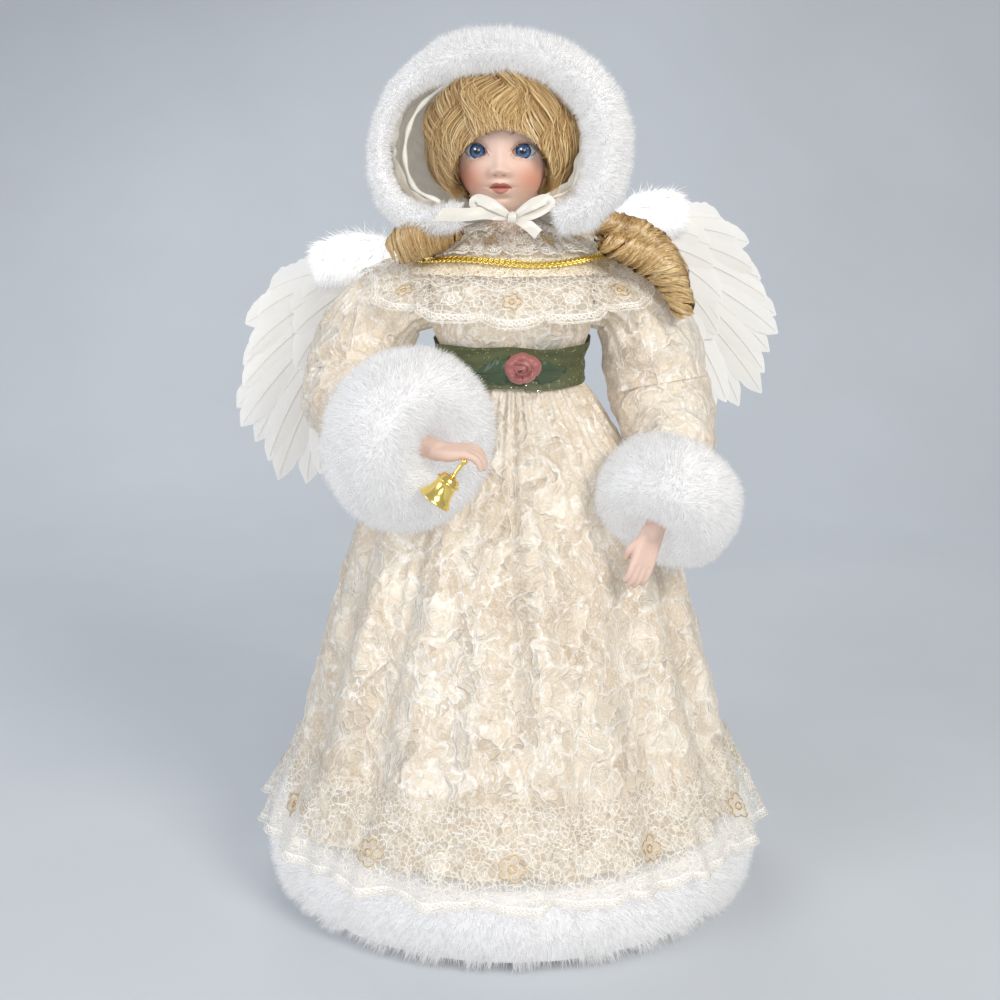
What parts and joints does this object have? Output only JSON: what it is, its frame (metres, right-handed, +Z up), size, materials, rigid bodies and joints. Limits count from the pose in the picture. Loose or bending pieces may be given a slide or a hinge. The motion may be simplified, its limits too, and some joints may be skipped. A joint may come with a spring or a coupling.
{
  "type": "angel tree topper",
  "caption": "Doll in a pleated fur-hemmed gown with hood, lace collar, feathered wings and a hand bell, over a hollow card cone that slips onto a tree's tip; arms and wings turn.",
  "frame": {"origin": "on the floor plane, under the middle of the gown", "axes": "+Z up the cone towards the head, +X towards the doll's left hand, -Y the way the doll faces"},
  "size_m": [0.3119, 0.2844, 0.4565],
  "materials": {
    "card": "plain kraft card",
    "stuffing": "cotton cover, stuffed",
    "velvet": "crushed panne velvet, champagne",
    "netting": "stiff net",
    "fur": "white plush fur",
    "lace": "ivory net lace with gold thread",
    "yoke": "gold glitter tulle",
    "gold_braid": "metallised gold cord",
    "sash": "olive glitter ribbon",
    "rose": "dusty rose ribbon",
    "leaf": "dark green wired ribbon",
    "bow": "ivory satin ribbon",
    "porcelain": "matte painted bisque",
    "eye": "blue glass with a dark pupil",
    "hair": "golden blonde doll's hair",
    "satin": "cream satin lining",
    "wire": "plain steel wire",
    "gold": "polished gold plate",
    "feather": "white goose feather"
  },
  "bodies": {
    "doll": {"tree_cone": "card", "torso": "stuffing", "shoulder_wire": "wire", "petticoat": "netting", "skirt": "velvet", "hem_fur": "fur", "hem_lace": "lace", "bodice": "velvet", "cape": "yoke", "bertha_lace": "lace", "gold_braid": "gold_braid", "neck_ruffle": "lace", "sash": "sash", "sash_rose": "rose", "sash_leaf_right": "leaf", "sash_leaf_left": "leaf", "head": "porcelain", "right_eye": "eye", "left_eye": "eye", "wig": "hair", "hood_shell": "velvet", "hood_lining": "satin", "hood_fur": "fur", "neck_bow": "bow", "right_curl": "hair", "left_curl": "hair", "wing_bracket": "card", "right_wing_pin": "wire", "left_wing_pin": "wire"},
    "right_arm": {"right_sleeve": "velvet", "right_arm_core": "stuffing", "right_cuff": "fur", "right_hand": "porcelain", "bell": "gold"},
    "clapper": {"bell_clapper": "gold"},
    "left_arm": {"left_sleeve": "velvet", "left_arm_core": "stuffing", "left_cuff": "fur", "left_hand": "porcelain"},
    "right_wing": {"right_wing_card": "card", "right_wing_primaries": "feather", "right_wing_coverts": "feather", "right_wing_down": "feather"},
    "left_wing": {"left_wing_card": "card", "left_wing_primaries": "feather", "left_wing_coverts": "feather", "left_wing_down": "feather"}
  },
  "joints": [
    {"name": "right_shoulder", "type": "hinge", "parent": "doll", "child": "right_arm", "pos_m": [-0.043, 0, 0.322], "axis": [-1, 0, 0], "range_deg": [0, 25], "deforming": ["right_sleeve"]},
    {"name": "left_shoulder", "type": "hinge", "parent": "doll", "child": "left_arm", "pos_m": [0.043, 0, 0.322], "axis": [-1, 0, 0], "range_deg": [0, 25], "deforming": ["left_sleeve"]},
    {"name": "right_wing_hinge", "type": "hinge", "parent": "doll", "child": "right_wing", "pos_m": [-0.012, 0.061, 0.3167], "axis": [0, 0, -1], "range_deg": [-6, 40]},
    {"name": "left_wing_hinge", "type": "hinge", "parent": "doll", "child": "left_wing", "pos_m": [0.012, 0.061, 0.3167], "axis": [0, 0, 1], "range_deg": [-29, 17]},
    {"name": "clapper_swing", "type": "hinge", "parent": "right_arm", "child": "clapper", "pos_m": [-0.02956, -0.113, 0.24601], "axis": [0, 1, 0], "range_deg": [0, 44.1]}
  ]
}
